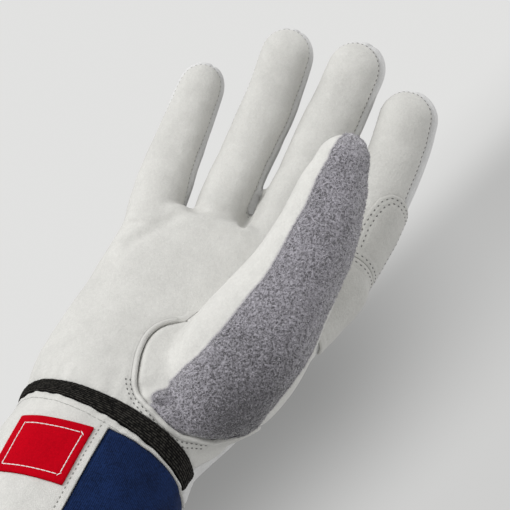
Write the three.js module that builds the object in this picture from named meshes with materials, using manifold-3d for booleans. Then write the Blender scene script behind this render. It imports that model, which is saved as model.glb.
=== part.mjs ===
// Cross-country ski glove, right hand, palm facing -Y, thumb on +X, fingers up +Z. Millimetres.
// The origin is the middle of the wrist opening, at the level of the elastic band.
import * as THREE from 'three';
import { mergeVertices } from 'three/addons/utils/BufferGeometryUtils.js';
import Module from 'manifold-3d';

const wasm = await Module();
wasm.setup();

// Driving dimensions
const WALL = 1.8; // leather or fabric with its lining
const GAP = 0.3; // clearance between neighbouring panels
const PATCH = 1.1; // thickness of a patch sewn on top
const BAND_TOP = { z: 2.8, right: -0.1, back: -0.12 }; // edge on the wrist axis, and its slopes
const BAND_BOTTOM = { z: -4.3, right: -0.17, back: -0.12 };
const BAND_PROUD = 0.5; // the band stands out this far from the leather
const BAND_WALL = 2.2;
const BAND_RIBS = 5; // ribs round the band
const RIB_DEPTH = 0.45; // depth of the grooves between them
const GATHERS = 9; // pleats round the leather above the band
const GATHER_RISE = 0.6; // height of the pleats
const GATHER_REACH = 17; // the pleats run out this far above the band
const PALM_TOP_ROUND = 8; // rounded end of the palm between the fingers
const BEND_START = 93; // height where the fingers begin to curl forward
const BEND = 0.0042; // forward curl, mm per mm squared
const SEAM_Y = -3; // side seam of the palm leather, below the bend
const SIDE_STRIP = 8; // depth of the side strips between the fingers
const STRIP_LOW = 104; // lowest point of the side strips
const THUMB_SEAM_BACK = 8; // the thumb piece reaches this far to the back
const PANEL_LOW = { z: -58.5, right: -0.1, back: 0 }; // leather is left below the navy panel
const FAR = 140; // reach of the cutting solids

// Sections along a form and corners round it, outside and inside
const HAND_MESH = { count: 18, around: 36 };
const FINGER_MESH = { count: 7, around: 12 };
const THUMB_MESH = { count: 8, around: 16 };
const HAND_LINING = { count: 8, around: 16 };
const FINGER_LINING = { count: 5, around: 9 };
const THUMB_LINING = { count: 6, around: 10 };
const TIP_STEPS = 3;
const BAND_AROUND = 32;

// Sections along each form: centre x, y, z, half width w, half depth d,
// squareness of the outline and drop of the section per mm towards the thumb.
const HAND = table('x y z w d square tilt', [
  [1, 2, -62, 43, 34, 2.2, -0.1],
  [0.5, 1, -40, 40, 31.5, 2.2, -0.1],
  [0.5, 0.5, -18, 37.3, 29, 2.2, -0.1],
  [0.8, 0, -5, 35.3, 26.5, 2.2, -0.1],
  [0.8, 0, 5, 35.3, 26.5, 2.2, -0.1],
  [2.2, 0, 16, 38.4, 25.5, 2.2, -0.08],
  [6.3, -0.5, 34, 42, 22, 2.3, -0.04],
  [11.3, -1, 56, 44.7, 18.5, 2.5, 0],
  [16, -1.5, 78, 47, 16.5, 2.6, 0],
  [18.6, -2, 91, 48.5, 15.5, 2.7, 0],
  [19.4, -2.3, 98.5, 49.3, 14.9, 2.9, 0],
]);
const PINKY = table('x y z w d', [
  [-19.5, -2.2, 90, 9.8, 11],
  [-21.6, -3.2, 110, 11.2, 11.6],
  [-22.8, -7, 127, 10.8, 10.8],
  [-23.2, -13.2, 144, 10.1, 10.1],
  [-23.3, -18.4, 155.8, 9.6, 9.3],
]);
const RING = table('x y z w d', [
  [3.6, -2.2, 92, 10, 11],
  [3.8, -4.4, 116, 11.3, 11.8],
  [4.6, -10, 138, 11.4, 11.4],
  [5.3, -19.5, 158, 11.2, 11.2],
  [5.5, -31, 175.2, 10.6, 10.3],
]);
const MIDDLE = table('x y z w d', [
  [27, -2.2, 92, 10, 11],
  [27.6, -4.6, 117, 11.7, 12],
  [29.2, -11, 139, 11.9, 12],
  [31.8, -21, 160, 12, 11.8],
  [33.8, -32.8, 178.5, 11.6, 11],
]);
const INDEX = table('x y z w d', [
  [55.5, -2.2, 92, 10, 11],
  [58.4, -4.6, 117, 12.3, 12.3],
  [60.2, -12.5, 143, 12.2, 12],
  [60.8, -19.5, 158, 12.2, 11.8],
  [60, -25.9, 168.4, 11.9, 11.2],
]);
const THUMB = table('x y z w d', [
  [24, -8.5, 9, 8.5, 9.3],
  [26.8, -10.5, 15.5, 14, 13.3],
  [31.2, -13.6, 27, 20.5, 16.7],
  [37, -21, 45, 22.9, 17.4],
  [42.5, -32, 67, 19.5, 16],
  [45.7, -43, 87, 16.6, 14.5],
  [46.3, -51.5, 105, 13.2, 12.5],
  [46, -56, 115.5, 11, 10.8],
]);
// Soft folds of the hand, each along a line seen from the front: on the palm (side -1) or on the
// back (side 1), its reach to either side, and its rise, below 0 for a dent
const FOLDS = table('side x1 z1 x2 z2 reach rise', [
  [-1, -7, 101, -25, 78, 8, 1.3],
  [-1, -2, 103, -20, 72, 6, -0.6],
  [-1, -6, 99, 18, 100, 8, 1],
  [-1, 20, 99, 36, 80, 10, -0.6],
  [-1, -32, 62, -6, 50, 9, 0.9],
  [-1, -30, 30, -4, 34, 9, -0.6],
  [-1, 8, 16, -1, 40, 6, 0.9],
  [1, 62, 100, -18, 94, 9, -0.6],
  [1, 60, 88, -20, 80, 8, 0.9],
  [1, 34, 28, -22, 24, 10, 0.9],
]);
// Each finger with the length of its rounded tip
const FINGERS = [
  { rows: PINKY, tip: 11 },
  { rows: RING, tip: 12 },
  { rows: MIDDLE, tip: 12.5 },
  { rows: INDEX, tip: 12.5 },
];
const THUMB_TIP = 11;

// Seam of the set-in thumb on the palm, seen from the front
const THUMB_SEAM = table('x z', [
  [66, 71],
  [48, 64.5],
  [30, 58],
  [15, 51],
  [6.4, 46],
  [2.7, 39],
  [2.6, 30],
  [5.4, 18.5],
  [8, 13.2],
  [11.5, 10.2],
  [16, 8.2],
  [22.5, 5.8],
  [27, 5.7],
  [31, 6.5],
  [35.4, 7.9],
  [39.3, 10],
  [43.5, 12.9],
  [47.5, 16.4],
  [52, 21.5],
  [61, 32],
  [76, 44],
  [76, 62],
]);
// Edge between the grey fleece and the thumb leather: a point and the slope y over x at each height
const FLEECE_EDGE = table('z x y slope', [
  [-10, 8, -25.6, 0.7],
  [6, 12, -25.5, 0.7],
  [11, 13.3, -25, 0.5],
  [18, 15.6, -24, 0.27],
  [25, 18.4, -26.6, 0.2],
  [31, 22.2, -31.3, 0.27],
  [40, 26.9, -36.3, 0.36],
  [52, 30.6, -41.5, 0.47],
  [61, 33.4, -45.5, 0.5],
  [75, 37, -51.5, 0.56],
  [90, 39.6, -58.5, 0.6],
  [109, 41.8, -64.8, 0.68],
  [125, 43, -70, 0.75],
  [140, 44, -75, 0.8],
]);
// Outlines of the sewn-on pieces, seen from the front
const PATCH_UPPER = table('x z', [
  [57.3, 105.9],
  [57.6, 119],
  [58.8, 125],
  [61, 131.2],
  [64.4, 134.6],
  [68.2, 135.8],
  [84, 137],
  [84, 103],
  [67, 104.4],
  [62, 105.5],
]);
const PATCH_LOWER = table('x z', [
  [57.3, 105.2],
  [62, 104.8],
  [67, 103.7],
  [84, 102.3],
  [84, 55],
  [58, 55],
  [51, 72],
  [50.5, 84],
  [53.5, 97],
]);
const FLEECE_COLUMNS = [-14, 0, 14, 28, 42, 56, 70]; // places across the fleece where its edge is set out
const PATCH_BACK = 4; // the patches wrap round the side to this y
const PANEL = table('x z', [
  [4.2, -5.6],
  [13, -6],
  [21, -6.8],
  [27, -7.8],
  [32, -9.4],
  [35, -11.3],
  [37, -13.5],
  [90, -13.5],
  [90, -70],
  [1.6, -70],
]);
const PANEL_BACK = 7;
const LABEL = table('x z', [
  [0, -8.6],
  [-0.8, -35],
  [-27, -36],
  [-26.5, -10.6],
]);
const LABEL_THICK = 0.9;

// Colours and finishes
const LEATHER = finish(0xd6d5d0, 0.75);
const FABRIC = finish(0xe6e6e6, 0.65);
const FLEECE = finish(0x82808a, 0.95);
const ELASTIC = finish(0x1c1b18, 0.85);
const NAVY = finish(0x1b2e5c, 0.8);
const RED = finish(0xc80a23, 0.55);

function table(names, rows) {
  const keys = names.split(' ');
  return rows.map((row) => Object.fromEntries(keys.map((key, i) => [key, row[i]])));
}

function finish(color, roughness) {
  return new THREE.MeshStandardMaterial({ color, roughness, metalness: 0 });
}

// Smooth rows through a table, count in all
function smooth(rows, count) {
  const last = rows.length - 1;
  const keys = Object.keys(rows[0]);
  return Array.from({ length: count }, (_, n) => {
    const at = (n / (count - 1)) * last;
    const i = Math.min(Math.floor(at), last - 1);
    const t = at - i;
    const value = (key) => {
      const [p1, p2] = [rows[i][key], rows[i + 1][key]];
      const p0 = i > 0 ? rows[i - 1][key] : 2 * p1 - p2;
      const p3 = i + 2 <= last ? rows[i + 2][key] : 2 * p2 - p1;
      const bend = 2 * p0 - 5 * p1 + 4 * p2 - p3;
      const twist = 3 * p1 - p0 - 3 * p2 + p3;
      return 0.5 * (2 * p1 + (p2 - p0) * t + bend * t * t + twist * t * t * t);
    };
    return Object.fromEntries(keys.map((key) => [key, value(key)]));
  });
}

// Closed solid through rings of equal length, the ends closed by fans
function stack(rings) {
  const size = rings[0].length;
  const points = rings.flat();
  const index = [];
  for (let r = 0; r + 1 < rings.length; r += 1) {
    for (let i = 0; i < size; i += 1) {
      const a = r * size + i;
      const b = r * size + ((i + 1) % size);
      index.push(a, b, b + size, a, b + size, a + size);
    }
  }
  for (const [ring, turned] of [[0, true], [rings.length - 1, false]]) {
    const centre = new THREE.Vector3();
    rings[ring].forEach((p) => centre.addScaledVector(p, 1 / size));
    points.push(centre);
    for (let i = 0; i < size; i += 1) {
      const a = ring * size + i;
      const b = ring * size + ((i + 1) % size);
      index.push(points.length - 1, turned ? b : a, turned ? a : b);
    }
  }
  const geometry = new THREE.BufferGeometry().setFromPoints(points);
  geometry.setIndex(index);
  return solid(geometry);
}

// Solid from a closed geometry, its faces turned outwards
function solid(geometry) {
  geometry.deleteAttribute('normal');
  geometry.deleteAttribute('uv');
  const merged = mergeVertices(geometry, 1e-4);
  const vertProperties = new Float32Array(merged.attributes.position.array);
  const triVerts = new Uint32Array(merged.index.array);
  if (volume(vertProperties, triVerts) < 0) triVerts.reverse();
  return new wasm.Manifold(new wasm.Mesh({ numProp: 3, vertProperties, triVerts }));
}

function volume(positions, triangles) {
  const corner = (i) => new THREE.Vector3().fromArray(positions, triangles[i] * 3);
  let sum = 0;
  for (let i = 0; i < triangles.length; i += 3) {
    sum += corner(i).dot(corner(i + 1).cross(corner(i + 2)));
  }
  return sum;
}

// Loft through a table of sections. grow moves the surface outwards, tip closes the far end in a
// round of that length, level keeps every section across the wrist axis, and relief gives the
// height of the folds at a point.
function loft(rows, { count, around, grow = 0, tip = 0, level = false, relief = null }) {
  const sections = smooth(rows, count);
  const centres = sections.map((s) => new THREE.Vector3(s.x, s.y, s.z));
  const ahead = centres.map((c, i) => {
    if (level) return new THREE.Vector3(0, 0, 1);
    const next = centres[Math.min(i + 1, centres.length - 1)];
    return next.clone().sub(centres[Math.max(i - 1, 0)]).normalize();
  });
  const rings = sections.map((s, i) => ring(s, centres[i], ahead[i], around, grow, 1));
  if (tip > 0) {
    const end = sections.length - 1;
    for (let k = 1; k <= TIP_STEPS; k += 1) {
      const turn = (Math.PI / 2) * (k / (TIP_STEPS + 0.15));
      const centre = centres[end].clone().addScaledVector(ahead[end], (tip + grow) * Math.sin(turn));
      rings.push(ring(sections[end], centre, ahead[end], around, grow, Math.cos(turn)));
    }
  }
  if (relief) {
    rings.forEach((points, i) => {
      const centre = centres[Math.min(i, centres.length - 1)];
      points.forEach((p) => {
        const out = new THREE.Vector3(p.x - centre.x, p.y - centre.y, 0).normalize();
        p.addScaledVector(out, relief(p));
      });
    });
  }
  return stack(rings);
}

function ring(section, centre, ahead, around, grow, shrink) {
  const side = new THREE.Vector3(1, 0, 0).addScaledVector(ahead, -ahead.x).normalize();
  const back = ahead.clone().cross(side);
  const power = 2 / (section.square ?? 2.2);
  const rounded = (v) => Math.sign(v) * Math.abs(v) ** power;
  return Array.from({ length: around }, (_, i) => {
    const turn = (2 * Math.PI * (i + 0.5)) / around;
    const across = (section.w + grow) * shrink * rounded(Math.cos(turn));
    const deep = (section.d + grow) * shrink * rounded(Math.sin(turn));
    const point = centre.clone().addScaledVector(side, across).addScaledVector(back, deep);
    point.z += (section.tilt ?? 0) * (point.x - centre.x);
    return point;
  });
}

// Height of the folds and gathers at a point of the hand
function foldHeight(p) {
  const folds = FOLDS.reduce((sum, fold) => {
    if (p.y * fold.side < 0) return sum;
    const far = lineDistance(p, fold) / fold.reach;
    return sum + fold.rise * Math.max(0, 1 - far * far) ** 2;
  }, 0);
  const above = (p.z - edgeHeight(BAND_TOP, p)) / GATHER_REACH;
  const fade = above > 0 ? Math.max(0, 1 - above) : 0;
  return folds + GATHER_RISE * fade * Math.cos(GATHERS * Math.atan2(p.y, p.x));
}

// Distance, seen from the front, from a point to a fold's line
function lineDistance(p, { x1, z1, x2, z2 }) {
  const [dx, dz] = [x2 - x1, z2 - z1];
  const t = THREE.MathUtils.clamp(((p.x - x1) * dx + (p.z - z1) * dz) / (dx * dx + dz * dz), 0, 1);
  return Math.hypot(p.x - x1 - t * dx, p.z - z1 - t * dz);
}

const handForm = (grow, more = HAND_MESH) => loft(HAND, { ...more, grow, tip: PALM_TOP_ROUND, level: true });
const fingerForm = ({ rows, tip }, grow, mesh = FINGER_MESH) => loft(rows, { ...mesh, grow, tip });
const thumbForm = (grow, mesh = THUMB_MESH) => loft(THUMB, { ...mesh, grow, tip: THUMB_TIP });
const joined = (forms) => forms.reduce((sum, form) => sum.add(form));

function outerForm() {
  const hand = handForm(0, { ...HAND_MESH, relief: foldHeight });
  return joined([hand, ...FINGERS.map((finger) => fingerForm(finger, 0)), thumbForm(0)]);
}

function innerForm() {
  const fingers = FINGERS.map((finger) => fingerForm(finger, -WALL, FINGER_LINING));
  return joined([handForm(-WALL, HAND_LINING), ...fingers, thumbForm(-WALL, THUMB_LINING)]);
}

// Height rows that follow the curl of the fingers
const BEND_ROWS = [-FAR, BEND_START, 106, 122, 138, 154, 170, 186, 202];
const seamDepth = (z) => SEAM_Y - BEND * Math.max(0, z - BEND_START) ** 2;

// Everything in front of the side seam (side -1) or behind it (side 1)
function seamBlock(side, gap) {
  return stack(BEND_ROWS.map((z) => {
    const near = seamDepth(z) + side * gap;
    const far = side * FAR * 1.5;
    return [
      new THREE.Vector3(-FAR, near, z),
      new THREE.Vector3(FAR, near, z),
      new THREE.Vector3(FAR, far, z),
      new THREE.Vector3(-FAR, far, z),
    ];
  }));
}

// The strip between two fingers, from the palm seam to the back seam
function stripBlock(left, right, grow) {
  const heights = [STRIP_LOW - grow, ...BEND_ROWS.filter((z) => z > STRIP_LOW + 1)];
  return stack(heights.map((z) => {
    const near = seamDepth(z) + GAP / 2 - Math.max(grow, 0) * 2;
    const deep = seamDepth(z) + SIDE_STRIP + grow;
    const from = middleAt(left, z) - grow;
    const to = middleAt(right, z) + grow;
    return [
      new THREE.Vector3(from, near, z),
      new THREE.Vector3(to, near, z),
      new THREE.Vector3(to, deep, z),
      new THREE.Vector3(from, deep, z),
    ];
  }));
}

// Middle of a finger at a height
function middleAt({ rows }, z) {
  const i = Math.max(1, rows.findIndex((row) => row.z > z));
  const upper = rows.at(rows.at(-1).z > z ? i : -1);
  const lower = rows[rows.indexOf(upper) - 1];
  const t = THREE.MathUtils.clamp((z - lower.z) / (upper.z - lower.z), 0, 1);
  return THREE.MathUtils.lerp(lower.x, upper.x, t);
}

// In front of the fleece edge (side -1) or behind it (side 1)
function fleeceBlock(side, gap) {
  return stack(FLEECE_EDGE.map((row) => {
    const lean = Math.hypot(1, row.slope);
    const near = FLEECE_COLUMNS.map((x) => (
      new THREE.Vector3(x, row.y + row.slope * (x - row.x) + side * gap * lean, row.z)
    ));
    const far = [...near].reverse().map((p) => p.clone().setY(side * FAR * 2));
    return [...near, ...far];
  }));
}

// Prism along Y under an outline drawn in x and z, moved outwards by grow
function prism(outline, front, back, grow = 0) {
  const count = outline.length;
  const corner = (i) => outline[(i + count) % count];
  const moved = outline.map((p, i) => {
    const [before, after] = [corner(i - 1), corner(i + 1)];
    const along = new THREE.Vector2(after.x - before.x, after.z - before.z).normalize();
    return new THREE.Vector2(p.x - along.y * grow * winding(outline), p.z + along.x * grow * winding(outline));
  });
  const body = new THREE.ExtrudeGeometry(new THREE.Shape(moved), {
    depth: back - front,
    bevelEnabled: false,
  });
  body.rotateX(Math.PI / 2);
  body.translate(0, back, 0);
  return solid(body);
}

// 1 for an outline drawn clockwise, -1 for the other way
function winding(outline) {
  const area = outline.reduce((sum, p, i) => {
    const q = outline[(i + 1) % outline.length];
    return sum + p.x * q.z - q.x * p.z;
  }, 0);
  return area < 0 ? 1 : -1;
}

// Height of a sloping edge at a place
function edgeHeight(edge, { x, y }) {
  return edge.z + edge.right * x + edge.back * y;
}

// Everything below a sloping edge, moved up by lift
function below(edge, lift = 0) {
  const corners = [[-1, -1], [1, -1], [1, 1], [-1, 1]].map(([x, y]) => ({ x: x * FAR, y: y * FAR }));
  return stack([
    corners.map(({ x, y }) => new THREE.Vector3(x, y, -2 * FAR)),
    corners.map((p) => new THREE.Vector3(p.x, p.y, edgeHeight(edge, p) + lift)),
  ]);
}

// The region of the set-in thumb: its base under the palm seam and the free thumb
function thumbRegion(grow) {
  const free = loft(THUMB.slice(3), { ...THUMB_MESH, grow: 1 + grow, tip: THUMB_TIP });
  return prism(THUMB_SEAM, -FAR, THUMB_SEAM_BACK + grow, grow).add(free);
}

function makePieces() {
  const half = GAP / 2;
  const shell = outerForm().subtract(innerForm()).subtract(openMouth());
  const hand = shell.subtract(below(BAND_TOP, GAP));
  const cuff = shell.intersect(below(BAND_BOTTOM, -GAP));
  const handOnly = hand.subtract(thumbRegion(half));
  const thumb = hand.intersect(thumbRegion(-half));
  const behind = handOnly.intersect(seamBlock(1, half));
  const strips = [0, 1, 2].map((i) => [FINGERS[i], FINGERS[i + 1]]);
  const backBlank = strips.reduce((rest, pair) => rest.subtract(stripBlock(...pair, GAP)), behind);
  const panel = prism(PANEL, -FAR, PANEL_BACK).subtract(below(PANEL_LOW));
  const panelHole = prism(PANEL, -FAR, PANEL_BACK + GAP, GAP).subtract(below(PANEL_LOW, -GAP));
  const pieces = [
    ['palm_leather', handOnly.intersect(seamBlock(-1, half)), LEATHER],
    ['back_fabric', backBlank, FABRIC],
    ['thumb_fleece', thumb.intersect(fleeceBlock(-1, half)), FLEECE],
    ['thumb_leather', thumb.intersect(fleeceBlock(1, half)), LEATHER],
    ['index_patch_upper', patch(PATCH_UPPER), LEATHER],
    ['index_patch_lower', patch(PATCH_LOWER), LEATHER],
    ['wrist_elastic', elasticBand(), ELASTIC],
    ['cuff_leather', cuff.subtract(panelHole), LEATHER],
    ['cuff_panel', cuff.intersect(panel), NAVY],
    ['label_patch', label(), RED],
  ];
  strips.forEach((pair, i) => {
    pieces.push([`finger_side_${i + 1}`, behind.intersect(stripBlock(...pair, 0)), FABRIC]);
  });
  return pieces;
}

// The wrist cavity carried on below the hem, so that the mouth is open
function openMouth() {
  const low = { ...HAND[0], z: HAND[0].z - 20 };
  return loft([low, HAND[0]], { count: 2, around: HAND_LINING.around, grow: -WALL, level: true });
}

function patch(outline) {
  const forms = (grow) => handForm(grow).add(fingerForm(FINGERS[3], grow));
  const sheet = forms(GAP + PATCH).subtract(forms(GAP));
  const clear = thumbRegion(GAP).add(thumbForm(GAP * 2));
  return sheet.intersect(prism(outline, -FAR, PATCH_BACK)).subtract(clear);
}

// The band with its ribs, as rings round the wrist that stand out and sink in by turns
function elasticBand() {
  const wrist = HAND[3];
  const centre = new THREE.Vector3(wrist.x, wrist.y, 0);
  const ahead = new THREE.Vector3(0, 0, 1);
  const ringAt = (share, grow) => ring({ ...wrist, tilt: 0 }, centre, ahead, BAND_AROUND, grow, 1).map((p) => {
    const height = THREE.MathUtils.lerp(edgeHeight(BAND_BOTTOM, p), edgeHeight(BAND_TOP, p), share);
    return p.setZ(height);
  });
  const steps = 2 * BAND_RIBS;
  const ribs = Array.from({ length: steps + 1 }, (_, i) => (
    ringAt(i / steps, BAND_PROUD - (i % 2 === 0 ? RIB_DEPTH : 0))
  ));
  return stack(ribs).subtract(stack([-1, 2].map((share) => ringAt(share, BAND_PROUD - BAND_WALL))));
}

function label() {
  const sheet = handForm(GAP + LABEL_THICK).subtract(handForm(GAP));
  return sheet.intersect(prism(LABEL, -FAR, 0));
}

// The largest body of a cut, without the slivers that a cut leaves
function wholeBody(cut) {
  const bodies = cut.decompose();
  return bodies.reduce((best, body) => (body.volume() > best.volume() ? body : best));
}

function meshOf(name, cut, material) {
  const { vertProperties, triVerts } = wholeBody(cut).getMesh();
  const geometry = new THREE.BufferGeometry();
  geometry.setAttribute('position', new THREE.BufferAttribute(vertProperties, 3));
  geometry.setIndex(new THREE.BufferAttribute(triVerts, 1));
  geometry.computeVertexNormals();
  const mesh = new THREE.Mesh(geometry, material);
  mesh.name = name;
  return mesh;
}

const glove = new THREE.Group();
makePieces().forEach(([name, cut, material]) => glove.add(meshOf(name, cut, material)));

export default glove;
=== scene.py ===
import functools
import math

import bpy
import numpy as np
from mathutils import Matrix, Vector, kdtree, noise


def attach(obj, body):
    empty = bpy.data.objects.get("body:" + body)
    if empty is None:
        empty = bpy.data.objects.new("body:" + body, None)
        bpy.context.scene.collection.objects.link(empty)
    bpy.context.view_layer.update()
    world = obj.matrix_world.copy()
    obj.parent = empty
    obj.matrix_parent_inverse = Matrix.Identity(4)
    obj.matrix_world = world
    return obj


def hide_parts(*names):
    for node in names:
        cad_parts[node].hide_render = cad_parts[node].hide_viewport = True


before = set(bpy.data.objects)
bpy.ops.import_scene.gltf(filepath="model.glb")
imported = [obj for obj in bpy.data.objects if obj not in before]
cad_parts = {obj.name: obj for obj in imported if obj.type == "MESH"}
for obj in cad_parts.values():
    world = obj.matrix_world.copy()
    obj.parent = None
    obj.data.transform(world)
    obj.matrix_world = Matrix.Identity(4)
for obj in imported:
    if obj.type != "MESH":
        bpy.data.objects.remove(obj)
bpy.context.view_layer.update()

bl_info = {
    "name": "Cross-country ski glove",
    "version": (1, 0, 0),
    "blender": (4, 5, 0),
    "location": "View3D > Sidebar > Glove",
    "description": "Sews a leather glove from panels: hand, thumb, wrist band and cuff",
    "category": "Add Mesh",
}

MM = 0.001

# Sections along the hand in mm, columns x y z w d square tilt: centre, half width, half depth,
# squareness of the outline, and rise of the section per mm towards the thumb
HAND = [
    (1.2, 2.2, -70, 44, 34.8, 2.2, -0.1),
    (0.5, 1, -40, 40, 31.5, 2.2, -0.1),
    (0.5, 0.5, -18, 37.3, 29, 2.2, -0.1),
    (0.8, 0, -5, 35.3, 26.5, 2.2, -0.1),
    (0.8, 0, 5, 35.3, 26.5, 2.2, -0.1),
    (2.2, 0, 16, 38.4, 25.5, 2.2, -0.08),
    (6.3, -0.5, 34, 42, 22, 2.3, -0.04),
    (11.3, -1, 56, 44.7, 18.5, 2.5, 0),
    (16, -1.5, 78, 47, 16.5, 2.6, 0),
    (18.6, -2, 91, 48.5, 15.5, 2.7, 0),
    (19.4, -2.3, 98.5, 49.3, 14.9, 2.9, 0),
]
# The section at the band, and the length of the hand form's rounded end
WRIST = HAND[3]
HAND_TIP = 8
# Sections along each finger, columns x y z w d, little finger first
FINGERS = [
    [(-19.5, -3.6, 90, 9.8, 11.6), (-21.6, -5, 110, 11.2, 11.8), (-22.8, -7.6, 127, 10.8, 10.8),
     (-23.2, -13.2, 144, 10.1, 10.1), (-23.3, -18.4, 155.8, 9.6, 9.3)],
    [(3.6, -4.2, 92, 10, 12), (3.6, -6, 116, 10.8, 12), (4.4, -10.6, 138, 11.1, 11.4),
     (5.3, -19.5, 158, 11.2, 11.2), (5.5, -31, 175.2, 10.6, 10.3)],
    [(27, -4.2, 92, 10, 12), (27.9, -6, 117, 11.2, 12), (29.4, -11.4, 139, 11.6, 12),
     (31.8, -21, 160, 12, 11.8), (33.8, -32.8, 178.5, 11.6, 11)],
    [(55.5, -2.2, 92, 10, 11), (58.4, -4.6, 117, 12.3, 12.3), (60.2, -12.5, 143, 12.2, 12),
     (60.8, -19.5, 158, 12.2, 11.8), (60, -25.9, 168.4, 11.9, 11.2)],
]
# Length of each finger's rounded end
FINGER_TIPS = [11, 12, 12.5, 12.5]
# Web of the crotch between the ring and the middle finger, columns x y z w d
WEB = [(15.4, -2, 92, 3, 8), (15.5, -3, 104, 2.6, 8), (15.9, -5, 114, 2.4, 6),
       (16.4, -6.4, 124, 2, 4.5)]
WEB_TIP = 2.5
THUMB = [
    (24, -8.5, 9, 8.5, 9.3), (26.8, -10.5, 15.5, 14, 13.3), (31.2, -13.6, 27, 20.5, 16.7),
    (37, -21, 45, 22.9, 17.4), (42.9, -32, 67, 19.1, 16), (45.1, -37.5, 77, 17.1, 15.3),
    (46.4, -43, 87, 15.9, 14.5), (46.5, -51.5, 105, 13, 12.5), (46.6, -55.4, 113.8, 10.4, 10.8),
]
THUMB_TIP = 13
# Steps round a form's rounded end, and the squareness of a section that names none
TIP_STEPS = 12
PLAIN_SQUARE = 2.2
# How finely each form is lofted: its sections, and the points round each
HAND_MESH = (60, 120)
THUMB_MESH = (40, 64)
FINGER_MESH = (30, 56)
WEB_MESH = (12, 24)
# Rounds of smoothing before and after the folds
SMOOTH_ROUNDS = 14
FOLD_ROUNDS = 2

# The fingers curl forward above a height, by the bend times the square of what is above it
BEND_START = 93
BEND = 0.0042
MIDDLE_Y = -2

# Seam of the set-in thumb on the palm, columns x z, seen from the front
THUMB_SEAM = [
    (66, 67), (57, 67.5), (48, 64.5), (36, 60), (24, 55.2), (15, 51), (6.4, 46), (2.7, 39),
    (2.6, 30), (5.4, 18.5), (8, 13.2), (11.5, 10.2), (16, 8.2), (22.5, 5.8), (27, 5.7),
    (31, 6.5), (35.4, 7.9), (39.3, 10), (43.5, 12.9), (47.5, 16.4), (52, 21.5), (61, 32),
    (76, 44), (76, 60),
]
THUMB_SEAM_BACK = 8
# How far the thumb's skin may lie from its form, and the height from which it is free
THUMB_REACH = 2.4
THUMB_FREE = 50
# Edge of the fleece, columns z x y slope: a point at each height, and the slope of y over x
FLEECE_EDGE = [
    (-10, 8, -25.6, 0.7), (6, 12, -25.4, 0.6), (11.3, 13.7, -24.9, 0.45),
    (16, 14.7, -24.3, 0.35), (22, 16.3, -24.2, 0.27), (25, 18.4, -26.6, 0.2),
    (31, 22.8, -31.6, 0.27), (40, 28.2, -36.7, 0.36), (51, 32.6, -41.5, 0.46),
    (61, 36.6, -45.9, 0.5), (75, 39.9, -51.9, 0.56), (90, 40.7, -58.5, 0.6),
    (109, 42.7, -64.8, 0.66), (116, 43, -66.4, 0.5), (121, 43.2, -65.4, 0.3),
    (127, 43.6, -60, 0.1), (140, 44, -50, 0),
]
# Sewn-on pieces, columns x z, seen from the front
PATCH_UPPER = [
    (57.3, 105.9), (57.6, 119), (58.8, 125), (61, 131.2), (64.4, 134.6), (68.2, 135.8),
    (84, 137), (84, 106.3), (67, 105.3), (62, 105.7),
]
PATCH_LOWER = [
    (57.3, 105.7), (62, 105.5), (67, 105.1), (84, 106.1), (84, 55), (58, 55), (51, 72),
    (50.5, 84), (53.5, 97),
]
# How far the patches reach to the left and round to the back
PATCH_LEFT = 40
PATCH_BACK = 4
# Seam across the two patches, columns x z
CROSS_SEAM = [(57.3, 105.7), (67, 105.1), (84, 106.1)]
LABEL = [(0, -8.6), (-0.8, -35), (-27, -36), (-26.5, -10.6)]
LABEL_LINE = [(-2.6, -12.8), (-3.3, -32), (-24, -33), (-23.6, -14.2)]
PANEL = [
    (4.2, -5.6), (13, -6), (21, -6.8), (27, -7.8), (32, -9.0), (35, -10.5), (37, -11.6),
    (90, -12.5), (90, -70), (1.6, -70),
]
PANEL_BACK = 7
# Roundness of the panel's corners
PANEL_CORNER = 0.8

# Edges of the band and the cuff: height on the wrist axis, then rise per mm towards the thumb
# and towards the back
BAND_TOP = (2.8, -0.1, -0.12)
BAND_BOTTOM = (-4.3, -0.17, -0.12)
HEM = (-62, -0.1, 0)
PANEL_LOW = (-58.5, -0.1, 0)
# Gap between two panels
GAP = 0.24

# Soft folds, columns: reach from the fold's line, height (below 0 sinks in), then its points x y z
FOLDS = [
    (4.2, 1.2, [(-9, -16, 101), (-16, -15, 91), (-25, -12, 79)]),
    (3.2, -1.2, [(-4, -16, 103), (-12, -15.5, 92), (-22, -13, 78)]),
    (2.8, -1.2, [(-6, -17, 103), (5, -17.5, 104), (15, -17, 105)]),
    (4.5, 0.8, [(-6, -17, 97), (6, -18, 98.5), (17, -17, 100)]),
    (5.0, -0.5, [(18, -17, 100), (28, -17, 90), (34, -17, 78)]),
    (1.1, -2.6, [(15.7, -15.6, 101), (15.1, -12.6, 104), (14.9, -10.9, 108), (15, -10.9, 113),
                 (15.3, -10.8, 118), (15.9, -11, 122)]),
    (1.3, -0.9, [(13.5, -25.3, 10.2), (16.4, -24.5, 10.7), (21, -23.3, 13)]),
    (5.5, -0.6, [(-33, -8, 60), (-20, -20, 52), (-6, -21, 50)]),
    (4.0, -0.6, [(-30, -14, 24), (-16, -23, 30), (-4, -23, 32)]),
    (3.2, -0.9, [(9, -25, 14), (18, -28, 24), (24, -33, 36)]),
    (3.5, -0.6, [(30, 22, 20), (10, 24, 26), (-14, 22, 24)]),
    (5.0, -0.7, [(60, 8, 96), (30, 13, 98), (-20, 11, 92)]),
    (5.0, 0.7, [(62, 8, 106), (30, 12, 108), (-22, 9, 102)]),
]
# Side seam of the palm leather: its depth on the middle line and its lean from side to side,
# which differs towards the fingertips, little finger first
SEAM_DEPTH = -3.2
SEAM_LEAN = 2.6
TIP_LEANS = [-0.6, 0.6, 2.4, 2.8]
# Width of the strips between the fingers, and their lowest height
STRIP_WIDTH = 8.5
STRIP_LOW = 104
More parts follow.
